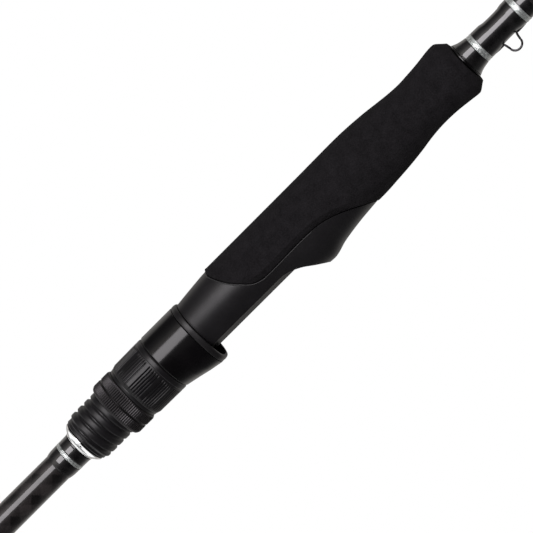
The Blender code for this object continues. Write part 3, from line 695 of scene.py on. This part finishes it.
def make_seat():
    line = smooth_line(BODY_LINE, 5)
    front = loft("front", [section(x, depth, radius, power, radius) for x, radius, depth, power in line])
    lip = smooth_line(LIP, 6)
    mouth = [(SHOULDER - 0.5, -BED_EDGE)] + lip + [(lip[-1][0], -FAR), (SHOULDER - 0.5, -FAR)]
    pocket = loft("pocket", [arch(16.0, 14.6, 8.3), arch(31.0, 14.4, 8.3), arch(33.5, 13.2, 8.3)])
    pad = loft("pad", [pad_ring(x, half_width) for x, half_width in BED_PAD_WIDTHS])
    flat = block("flat", (HOOD_REAR - 0.5, -12.0, -12.0), (SHOULDER - 0.2, 12.0, -FLAT))
    keyway = block("keyway", (HOOD_REAR - 16.0, -1.4, 9.0), (SHOULDER + 0.3, 1.4, 12.0))
    outline = foam_outline(0.0)
    space = plate("space", [(-FAR, outline), (FAR, outline)])
    core = loft("core", [circle(-20.0, CORE), circle(70.0, CORE)])
    carve(space, ("DIFFERENCE", core))
    bore = loft("bore", [circle(-95.0, SEAT_BORE), circle(70.0, SEAT_BORE)])
    mouth = plate("mouth", [(-FAR, mouth), (FAR, mouth)])
    seat = carve(
        make_barrel(), ("UNION", front), ("DIFFERENCE", mouth), ("DIFFERENCE", pocket), ("UNION", pad),
        ("DIFFERENCE", flat), ("DIFFERENCE", keyway), ("DIFFERENCE", space), ("DIFFERENCE", bore),
    )
    seat = joined("seat_with_beads", [soften(seat, 0.38)] + make_beads())
    piece(tidy(seat, 40.0), SEAT, BUTT, "seat_soft_touch", "seat_body")


def hood_depth(x):
    """How far down the hood reaches: from near its rear end it deepens in a straight line."""
    share = rise(x, HOOD_SLOPE_START, HOOD_SLOPE_START + HOOD_SLOPE_LENGTH)
    return HOOD_HALF_WIDTH + (HOOD_DEPTH - HOOD_HALF_WIDTH) * share


def hood_ring(x, inset):
    """A ring of the hood, round behind and squarer in front."""
    share = (hood_depth(x) - HOOD_HALF_WIDTH) / (HOOD_DEPTH - HOOD_HALF_WIDTH)
    width = HOOD_HALF_WIDTH - inset
    return section(x, hood_depth(x) - inset, width, 2.0 + 0.7 * min(2 * share, 1.0), width)


def make_hood():
    rear, front = HOOD_REAR, SHELL_FRONT
    outer = [(rear, HOOD_WALL), (rear, 0.0), (-34.0, 0.0), (-30.0, 0.0), (front, 0.0), (front, HOOD_WALL)]
    rings = [hood_ring(x, inset) for x, inset in rounded(outer, 0.35)]
    rings += [hood_ring(x, HOOD_WALL) for x in (front - 1, -32.0, -36.0, -38.6, rear + 0.5)]
    piece(loft("hood_shell", rings, closed=True), GLOSS, HOOD, "gloss_black", "movable_hood_shell")

    under = HOOD_WALL + 0.2
    line = [(rear + 0.2, under), (-38.6, under), (-32.0, under), (front + 0.2, under), (front + 0.2, 0.05)]
    line += [(HOOD_FRONT - 1.0, -0.02), (HOOD_FRONT - 0.1, 0.28), (HOOD_FRONT, 0.9)]
    rings = [hood_ring(x, inset) for x, inset in rounded(line, 0.3)]
    for x in (HOOD_FRONT, -24.0, -26.5, -32.0, -38.6, rear + 0.2):
        depth = max(hood_depth(x) - under - 0.55, HOOD_BORE)
        rings.append(section(x, depth, HOOD_BORE, 3.0, HOOD_BORE))
    insert = loft("hood_rim", rings, closed=True)
    key = block("key", (rear + 0.6, -1.1, 9.25), (HOOD_FRONT - 0.6, 1.1, 10.5))
    piece(carve(insert, ("UNION", key)), RIM, HOOD, "seat_soft_touch", "hood_insert")


def groove_share(degrees):
    """How much of a groove's depth there is at an angle round the nut. One group faces -Y."""
    off_group = (degrees - 270 + 180 / RIB_GROUPS) % (360 / RIB_GROUPS) - 180 / RIB_GROUPS
    line = round(off_group / GROOVE_STEP)
    if abs(line) > GROOVES // 2:
        return 0.0
    near = abs(off_group - line * GROOVE_STEP) / (GROOVE_WIDTH / 2)
    return 0.5 + 0.5 * math.cos(math.pi * min(near, 1.0))


def make_nut():
    """The nut's ribs are cut as grooves into a fine grid, in groups with plain lands between."""
    outer = rounded([
        (COLLAR_REAR + 0.8, NECK), (NUT_REAR - 0.2, NECK), (NUT_REAR, 11.0), (NUT_REAR + 1.0, 11.2),
        (NUT_REAR + 1.15, 11.05), (NUT_REAR + 1.3, 11.25), (NUT_REAR + 2.6, NUT_RADIUS - 0.12),
        (GROOVE_FRONT + 0.3, NUT_RADIUS), (GROOVE_FRONT + 0.5, NUT_RADIUS - 0.15),
        (GROOVE_FRONT + 0.7, NUT_RADIUS), (NUT_FRONT - 0.6, NUT_RADIUS), (NUT_FRONT, NUT_RADIUS - 0.5),
    ], 0.25)
    stations = []
    for (x, r), (following, end) in zip(outer, outer[1:]):
        pieces = max(int((following - x) / 0.7), 1)
        stations += [(x + (following - x) * k / pieces, r + (end - r) * k / pieces) for k in range(pieces)]
    stations += [outer[-1], (NUT_FRONT, NUT_BORE), (COLLAR_REAR + 0.8, NUT_BORE)]
    rings = []
    for x, r in stations:
        fade = rise(x, GROOVE_REAR, GROOVE_REAR + 0.5) * rise(x, GROOVE_FRONT, GROOVE_FRONT - 0.5)
        deep = max(r - NUT_RADIUS + GROOVE_DEPTH, 0.0) * fade
        ring = []
        for i in range(NUT_POINTS):
            degrees = 360.0 * i / NUT_POINTS
            reach = r - deep * groove_share(degrees)
            angle = math.radians(degrees)
            ring.append((x, reach * math.sin(angle), -reach * math.cos(angle)))
        rings.append(ring)
    piece(loft("nut_ribbed", rings, closed=True, sharp=45.0), NUT_BLACK, NUT, "nut_plastic", "lock_nut")


def make_collar():
    count = TEETH * 8
    front = COLLAR_FRONT
    line = rounded([
        (COLLAR_REAR, NECK + JOINT_GAP), (COLLAR_REAR, NECK + 0.35), (COLLAR_REAR + 1.0, COLLAR_RADIUS),
        (COLLAR_GROOVE - 0.45, COLLAR_RADIUS), (COLLAR_GROOVE, 10.9), (COLLAR_GROOVE + 0.45, COLLAR_RADIUS),
        (front - 0.9, COLLAR_RADIUS), (front, 11.1), (front, NECK + JOINT_GAP),
    ], 0.22)
    rings = []
    for x, r in line:
        ring = []
        for i in range(count):
            angle = 2 * math.pi * i / count
            tooth = 0.5 + 0.5 * math.cos(TEETH * angle)
            cut = TOOTH_DEPTH * tooth**1.5 * rise(r, 11.2, 11.5)
            ring.append((x, (r - cut) * math.sin(angle), -(r - cut) * math.cos(angle)))
        rings.append(ring)
    collar = loft("collar_knurled", rings, closed=True, sharp=50.0)
    piece(collar, ALLOY, NUT, "black_alloy", "knurled_collar")


def make_seat_checks():
    rear, front = span("seat_rear_check")
    ring = [(rear, 6.45), (rear + 0.7, 6.6), (rear + 0.75, 7.05), (rear + 1.5, 8.0)]
    ring += [(front - 0.5, 8.75), (front, 8.85)]
    ring = lathe("seat_check_ring", ring, on_blank(rear, front), FINE, 0.2, 25.0)
    piece(ring, SILVER, BUTT, "silver", "seat_rear_check")
    rear, front = span("grip_front_check")
    ring = [(rear, 7.1), (rear + 0.15, 7.38), (rear + 0.7, 7.38), (front, 7.1)]
    ring = lathe("grip_check_ring", ring, on_blank(rear, front), FINE, 0.15)
    piece(ring, GLOSS, BUTT, "gloss_black", "grip_front_check")


# ---------------------------------------------------------------- foregrip

GRIP_LINE = (
    (-7.0, 13.10, 0.0), (10.0, 13.10, 0.0), (40.0, 13.15, 0.0), (58.0, 13.28, 0.0), (66.0, 13.0, 0.1),
    (74.0, 12.4, 0.1), (80.0, 11.7, 0.1), (85.0, 11.05, 0.2), (90.0, 10.68, 0.3), (95.0, 10.76, 0.45),
    (100.0, 11.1, 0.5), (105.5, 11.75, 0.5), (108.3, 11.95, 0.4), (109.6, 11.6, 0.3), (111.6, 10.0, 0.1),
    (GRIP_FRONT - 0.05, 9.3, 0.0),
)  # x, radius, and how far the middle sits above the axis


def grip_ring(x, radius, lift, edge):
    """A ring of the grip. Beside the foam's edge it is drawn in, in a band bordered by a raised fold.

    The band is wide below and narrow behind, and it fades out towards the foam's lowest point.
    """
    along = rise(x, *BEVEL_WIDENS)
    width = BEVEL_EDGE + (BEVEL_WIDTH - BEVEL_EDGE) * along
    depth = BEVEL_DEPTH * (0.6 + 0.4 * along) * rise(x, *BEVEL_FADES)
    near = [end for end in edge if abs(end[0] - x) < 2 * BEVEL_WIDTH]
    ring = []
    for at, y, z in circle(x, radius, 360, lift):
        away = min([math.hypot(end[0] - x, end[1] - z) for end in near], default=2 * width)
        fold = FOLD_HEIGHT * (depth / BEVEL_DEPTH) * max(1 - abs(away - width) / FOLD_WIDTH, 0.0)
        share = 1 + (fold - depth * max(1 - away / width, 0.0)) / radius
        ring.append((at, y * share, lift + (z - lift) * share))
    return ring


def make_foregrip():
    edge = smooth_line(FOAM_EDGE, 24)
    line = smooth_line(GRIP_LINE, 36)
    line += [(GRIP_FRONT, 9.0, 0.0)]
    body = loft("foam_grip", [grip_ring(x, r, lift, edge) for x, r, lift in line])
    outline = foam_outline(FOAM_GAP)
    region = plate("region", [(-16.0, outline), (16.0, outline)])
    ahead = GRIP_FRONT + 10
    core = [
        (-20.0, CORE + 0.25), (SEAT_FRONT + 0.3, CORE + 0.25), (SEAT_FRONT + 0.3, 8.6),
        (60.0, blank_radius(60.0) + JOINT_GAP), (ahead, blank_radius(ahead) + JOINT_GAP),
    ]
    bore = loft("bore", [circle(x, r, 96) for x, r in core])
    grip = carve(body, ("INTERSECT", region), ("DIFFERENCE", bore))
    piece(soften(grip, 0.30, 40.0), FOAM, BUTT, "eva_foam", "foregrip")


# ---------------------------------------------------------------- wraps, trims and the hook keeper


def make_handle_wraps():
    rear, front = span("seat_rear_wrap")
    line = [
        (rear, 5.68), (rear + 0.9, 5.9), (rear + 2.2, 6.05), (-89.5, 6.12), (-89.5, 5.75), (-87.8, 5.75),
        (-87.8, 6.12), (-84.8, 6.17), (front, 6.3),
    ]
    wrap = lathe("seat_wrap", line, on_blank(rear, front), ROUND, 0.3)
    piece(wrap, WRAP, BUTT, "thread_and_epoxy", "seat_rear_wrap")
    trim("seat_trim", "seat_rear_trim", 6.17)

    rear, front = span("keeper_wrap")
    flare = smooth_line([(rear, 7.2), (rear + 0.9, 6.75), (rear + 2.6, 6.25), (rear + 4.9, 5.86)], 4)
    line = flare + [
        (118.8, 5.35), (121.2, 5.35), (121.2, 5.76), (125.0, 5.68), (126.9, 5.30), (129.0, 5.22),
        (131.8, 5.22), (133.8, 5.30), (135.6, 5.66), (138.2, 5.70), (138.2, 5.35), (140.6, 5.35),
        (140.6, 5.66), (143.0, 5.6), (front, 5.15),
    ]
    wrap = lathe("keeper_wrap_epoxy", line, on_blank(rear, front), ROUND, 0.3)
    piece(wrap, WRAP, BUTT, "thread_and_epoxy", "keeper_wrap")
    trim("keeper_trim_a", "keeper_trim_rear", 5.82)
    trim("keeper_trim_b", "keeper_trim_front", 5.77)


TRIM_TURNS = 4
TRIM_GAP = 0.9  # between the middle two turns, in turns
STRAND = 0.14


def trim(name, node, radius):
    """A band of metallic thread: round turns side by side, in two groups."""
    rear, front = span(node)
    pitch = (front - rear) / (TRIM_TURNS + TRIM_GAP)
    floor = radius - STRAND
    line = [(rear, floor)]
    for i in range(TRIM_TURNS):
        start = rear + pitch * (i + (TRIM_GAP if i >= TRIM_TURNS / 2 else 0.0))
        for k in range(7):
            angle = math.pi * k / 6
            line.append((start + pitch * (0.5 - 0.5 * math.cos(angle)), floor + STRAND * math.sin(angle)))
    line.append((front, floor))
    rings = [circle(x, r, ROUND) for x, r in line]
    rings += [circle(front, radius - 0.32, ROUND), circle(rear, radius - 0.32, ROUND)]
    piece(loft(name, rings, closed=True), TRIM, BUTT, "silver_thread", node)


def make_keeper():
    low, high = span("hook_keeper")
    middle, floor = 129.9, 5.5  # x of the loop's middle, depth of the feet
    path = [(low, 0, -floor), (middle - 3.7, 0, -floor), (middle - 2.95, 0, -floor - 0.3)]
    for i in range(33):
        angle = math.pi * i / 32
        path.append((middle - 2.5 * math.cos(angle), 0, -8.0 - 2.38 * math.sin(angle)))
    path += [(middle + 2.95, 0, -floor - 0.3), (middle + 3.7, 0, -floor), (high, 0, -floor)]
    keeper = wire("hook_keeper_wire", smooth_line(path, 2), 0.42)
    piece(keeper, STEEL, BUTT, "dark_steel", "hook_keeper")


def make_ferrule():
    rear, front = span("ferrule_wrap")
    line = smooth_line([(rear, 4.5), (rear + 1.2, 4.82), (front - 2.2, 4.85), (front, 4.5)], 4)
    bore = [(front, 4.45), (rear, 4.45)]
    piece(lathe("ferrule_epoxy", line, bore), WRAP, TIP, "thread_and_epoxy", "ferrule_wrap")
    rear, front = span("ferrule_stop_wrap")
    line = smooth_line([(rear, 3.72), (rear + 1.6, 4.05), (front - 1.0, 4.08), (front, 3.9)], 4)
    stop = lathe("ferrule_stop", line, on_blank(rear, front))
    piece(stop, WRAP, BUTT, "thread_and_epoxy", "ferrule_stop_wrap")


# ---------------------------------------------------------------- line guides

# station, ring outer diameter, ring bore, height of the ring's middle, wire radius, foot length, two feet
GUIDES = (
    (640.0, 20.0, 16.4, 23.0, 0.80, 15.0, True),
    (862.0, 12.5, 9.8, 14.5, 0.65, 12.0, True),
    (1050.0, 9.4, 7.2, 9.8, 0.50, 9.0, False),
    (1215.0, 8.4, 6.2, 8.0, 0.45, 8.0, False),
    (1360.0, 7.2, 5.0, 6.8, 0.42, 8.0, False),
    (1490.0, 6.4, 4.4, 5.9, 0.40, 7.0, False),
    (1612.0, 6.4, 4.4, 5.5, 0.40, 7.0, False),
)


def mirrored(path):
    return [(x, -y, z) for x, y, z in reversed(path)]


def front_path(x, height, loop, base, radius, foot):
    """From the foot up the leg, round the ring and down again."""
    side = 1.25 * radius
    opening = math.radians(24)
    left = [
        (x + 3.0 + foot, -side, -base), (x + 3.0 + foot * 0.35, -side, -base),
        (x + 2.2, -side, -base - 0.12 * (height - base)),
    ]
    ring = []
    for i in range(41):
        angle = math.pi - opening - (2 * math.pi - 2 * opening) * i / 40
        ring.append((x, -loop * math.sin(angle), -height - loop * math.cos(angle)))
    return left + ring + mirrored(left)


def rear_path(x, height, loop, base, radius, foot):
    """The brace on the butt side: down from the ring, along the blank, round its end and back."""
    side = 1.25 * radius
    angle = math.radians(108)
    start = x - 3.4 - 0.4 * height
    left = [
        (x - 0.1, -loop * math.sin(angle), -height - loop * math.cos(angle)),
        (x - 2.2 - 0.35 * height, -side * 1.2, -base - 0.14 * (height - base)),
        (start, -side, -base), (start - foot + side, -side, -base),
    ]
    end = [(start - foot + 0.3 * side, -side * 0.7, -base), (start - foot, 0.0, -base)]
    end.append((start - foot + 0.3 * side, side * 0.7, -base))
    return left + end + mirrored(left)


def egg_sleeve(name, outer, bore):
    """A sleeve on the blank, thick over a guide's foot and thin on top. outer is (x, depth)."""
    rings = []
    for x, depth in outer:
        thin = blank_radius(x) + JOINT_GAP
        half_width, top = (thin + share * (depth - thin) for share in (0.55, 0.25))
        rings.append(section(x, depth, half_width, 2.0, top, ROUND))
    rings += [circle(x, r, ROUND) for x, r in bore]
    return loft(name, rings, closed=True)


def make_ring(name, node, x, height, outer, bore, body):
    """A ceramic ring round its own axis, rounded where the line runs."""
    low, high = span(node)
    half = (high - low) / 2
    lip = 0.25 * (outer - bore)
    line = [
        (-half, outer - lip), (-half * 0.6, outer), (half * 0.6, outer), (half, outer - lip),
        (half, bore + lip), (0.0, bore), (-half, bore + lip),
    ]
    rings = []
    for at, r in rounded(line, lip * 0.9, closed=True):
        rings.append([(x + at, y, z - height) for _, y, z in circle(0.0, r, 48)])
    piece(loft(name, rings, closed=True, sharp=60.0), CERAMIC, body, "ceramic", node)


def make_guide(number, x, outer, bore, height, radius, foot, two_feet):
    body = BUTT if x < TIP_START else TIP
    base = blank_radius(x) + radius + 0.3
    loop = outer / 2 + radius + 0.1
    node = f"guide_{number}_frame"
    parts = [wire("front", smooth_line(front_path(x, height, loop, base, radius, foot), 3), radius)]
    if two_feet:
        path = smooth_line(rear_path(x, height, loop, base, radius, foot), 4)
        parts.append(wire("rear", path, radius * 0.9))
    piece(joined(f"guide_wire_{number}", parts), STEEL, body, "dark_steel", node)
    make_ring(f"guide_ceramic_{number}", f"guide_{number}_ring", x, height, outer / 2, bore / 2, body)

    for label in ("wrap", "front_wrap", "rear_wrap"):
        wrap = f"guide_{number}_{label}"
        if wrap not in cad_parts:
            continue
        first, last = span(wrap)
        crest = blank_radius(x) + 2 * radius + 0.5
        low_end, high_end = (blank_radius(at) + JOINT_GAP + 0.2 for at in (first, last))
        line = [(first, low_end), (first + 1.4, crest - 0.1), (first + 3.0, crest)]
        line += [(last - 3.0, crest), (last - 1.4, crest - 0.12), (last, high_end)]
        coat = egg_sleeve(f"guide_epoxy_{number}_{label}", smooth_line(line, 4), on_blank(first, last))
        piece(coat, WRAP, body, "thread_and_epoxy", wrap)


def make_tip_top():
    x, outer, bore, height, radius = 1732.0, 6.4, 4.4, 5.6, 0.45
    rear, front = x - 13.0, x + 1.7
    inner = [(at, blank_radius(at - 13) + JOINT_GAP) for at in (front, rear)]
    parts = [lathe("tube", [(rear, 1.3), (front, 1.3)], inner, 32, 0.12)]
    loop = outer / 2 + radius + 0.1
    reach = height + 0.4
    ring = []
    for i in range(37):
        angle = math.radians(150) - math.radians(300) * i / 36
        ring.append((x + 2.4, -loop * math.sin(angle), -reach - loop * math.cos(angle)))
    left = [(x - 7.0, -1.25, -0.55), (x - 2.5, -1.35, -0.8)]
    path = smooth_line(left + ring + mirrored(left), 3)
    parts.append(wire("loop", [(min(at, x + 2.4), y, z) for at, y, z in path], radius))
    piece(joined("tip_top_wire", parts), STEEL, TIP, "dark_steel", "tip_top_frame")
    make_ring("tip_top_ceramic", "tip_top_ring", x + 2.4, reach, outer / 2, bore / 2, TIP)


# ---------------------------------------------------------------- hidden CAD nodes


def paint_arbors():
    for name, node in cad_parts.items():
        if "arbor" in name:
            for held in node.material_slots:
                held.link = "OBJECT"
                held.material = CORK_FILL


# ---------------------------------------------------------------- studio

CAMERA_DISTANCE = 1.74
CAMERA_TURN = math.radians(8.5)
CAMERA_ROLL = math.radians(44.9)
PICTURE_WIDTH = 0.1903
AIM = Vector((0.0107, 0.0, -0.00173))
FLOOR_DROP = 0.6
FLOOR_HALF = 3.1
KEY_RADIANCE = 5.8
KEY_ELEVATION = math.radians(28)
KEY_DISTANCE = 1.3
KEY_MIDDLE = 0.45
KEY_LENGTH = 2.1
KEY_HEIGHT = 0.8


def make_camera():
    data = bpy.data.cameras.new("camera")
    data.sensor_width = 36.0
    data.lens = data.sensor_width * CAMERA_DISTANCE / PICTURE_WIDTH
    data.clip_start = 0.01
    data.clip_end = 60.0
    camera = bpy.data.objects.new("camera", data)
    bpy.context.scene.collection.objects.link(camera)
    toward = Vector((math.sin(CAMERA_TURN), -math.cos(CAMERA_TURN), 0.0))
    camera.location = AIM + CAMERA_DISTANCE * toward
    ahead = (AIM - camera.location).normalized()
    level = ahead.cross(Vector((0.0, 0.0, 1.0))).normalized()
    upright = level.cross(ahead)
    right = math.cos(CAMERA_ROLL) * level - math.sin(CAMERA_ROLL) * upright
    up = math.sin(CAMERA_ROLL) * level + math.cos(CAMERA_ROLL) * upright
    camera.rotation_euler = Matrix((right, up, -ahead)).transposed().to_euler()
    bpy.context.scene.camera = camera


def make_key():
    """A long soft box in front of the rod and above it, level with it."""
    light = bpy.data.lights.new("key", "AREA")
    light.shape = "RECTANGLE"
    light.size = KEY_LENGTH
    light.size_y = KEY_HEIGHT
    light.energy = KEY_RADIANCE * math.pi * KEY_LENGTH * KEY_HEIGHT
    light.color = (1.0, 0.965, 1.0)
    box = bpy.data.objects.new("key", light)
    bpy.context.scene.collection.objects.link(box)
    toward = Vector((0.0, -math.cos(KEY_ELEVATION), math.sin(KEY_ELEVATION)))
    box.location = AIM + KEY_DISTANCE * toward + Vector((KEY_MIDDLE, 0.0, 0.0))
    box.rotation_euler = (math.pi / 2 - KEY_ELEVATION, 0.0, 0.0)
    box.visible_camera = False


def make_floor():
    floor = bpy.data.meshes.new("floor")
    z = cad_low.z - FLOOR_DROP
    corners = [(FLOOR_HALF * x, FLOOR_HALF * y, z) for x, y in ((-1, -1), (1, -1), (1, 1), (-1, 1))]
    floor.from_pydata(corners, [], [(0, 1, 2, 3)])
    paint = bpy.data.materials.new("floor")
    paint.use_nodes = True
    shader = paint.node_tree.nodes["Principled BSDF"]
    shader.inputs["Base Color"].default_value = (0.86, 0.86, 0.86, 1.0)
    shader.inputs["Roughness"].default_value = 0.9
    floor.materials.append(paint)
    obj = bpy.data.objects.new("floor", floor)
    obj.visible_glossy = False
    bpy.context.scene.collection.objects.link(obj)


def make_world():
    """White to the camera. As light it is dark in front, and bright above and past the butt."""
    world = bpy.data.worlds.new("studio")
    world.use_nodes = True
    tree = world.node_tree
    tree.nodes.clear()
    nodes, links = tree.nodes, tree.links
    direction = nodes.new("ShaderNodeTexCoord")
    split = nodes.new("ShaderNodeSeparateXYZ")
    links.new(direction.outputs["Generated"], split.inputs[0])
    angle = nodes.new("ShaderNodeMath")
    angle.operation = "ARCTAN2"
    links.new(split.outputs["Y"], angle.inputs[0])
    links.new(split.outputs["Z"], angle.inputs[1])
    share = nodes.new("ShaderNodeMath")
    share.operation = "MULTIPLY_ADD"
    share.inputs[1].default_value = 0.5 / math.pi
    share.inputs[2].default_value = 0.5
    links.new(angle.outputs[0], share.inputs[0])
    ramp = nodes.new("ShaderNodeValToRGB")
    links.new(share.outputs[0], ramp.inputs["Fac"])
    stops = (
        (0, 0.12), (20, 0.07), (45, 0.03), (84, 0.03), (104, 0.30), (138, 0.85), (148, 0.70), (158, 0.30),
        (172, 0.15), (184, 0.07), (202, 0.09), (212, 0.60), (230, 0.65), (250, 0.40), (270, 0.28),
        (312, 0.65), (330, 0.40), (350, 0.14), (360, 0.12),
    )  # degrees from straight down, turning by way of the front to the top and the back; brightness there
    elements = ramp.color_ramp.elements
    while len(elements) < len(stops):
        elements.new(0.5)
    for element, (degrees, value) in zip(elements, stops):
        element.position = degrees / 360
        warmth = 0.12 * value
        element.color = (value, value * (1 - 0.5 * warmth), value * (1 - warmth), 1.0)
    butt_end = nodes.new("ShaderNodeMapRange")
    butt_end.inputs["From Min"].default_value = -0.60
    butt_end.inputs["From Max"].default_value = -0.72
    links.new(split.outputs["X"], butt_end.inputs["Value"])
    whiter = nodes.new("ShaderNodeMix")
    whiter.data_type = "RGBA"
    links.new(butt_end.outputs[0], whiter.inputs["Factor"])
    links.new(ramp.outputs["Color"], whiter.inputs[6])
    whiter.inputs[7].default_value = (1.3, 1.3, 1.3, 1.0)
    lit = nodes.new("ShaderNodeBackground")
    links.new(whiter.outputs[2], lit.inputs["Color"])
    seen = nodes.new("ShaderNodeBackground")
    seen.inputs["Color"].default_value = (1.0, 1.0, 1.0, 1.0)
    path = nodes.new("ShaderNodeLightPath")
    mix = nodes.new("ShaderNodeMixShader")
    links.new(path.outputs["Is Camera Ray"], mix.inputs[0])
    links.new(lit.outputs[0], mix.inputs[1])
    links.new(seen.outputs[0], mix.inputs[2])
    out = nodes.new("ShaderNodeOutputWorld")
    links.new(mix.outputs[0], out.inputs["Surface"])
    bpy.context.scene.world = world


make_camera()
make_blanks()
make_butt()
make_seat()
make_hood()
make_nut()
make_collar()
make_seat_checks()
make_foregrip()
make_handle_wraps()
make_keeper()
make_ferrule()
for number, guide in enumerate(GUIDES, start=1):
    make_guide(number, *guide)
make_tip_top()
paint_arbors()
make_floor()
make_world()
make_key()
bpy.context.scene.view_settings.view_transform = "Standard"
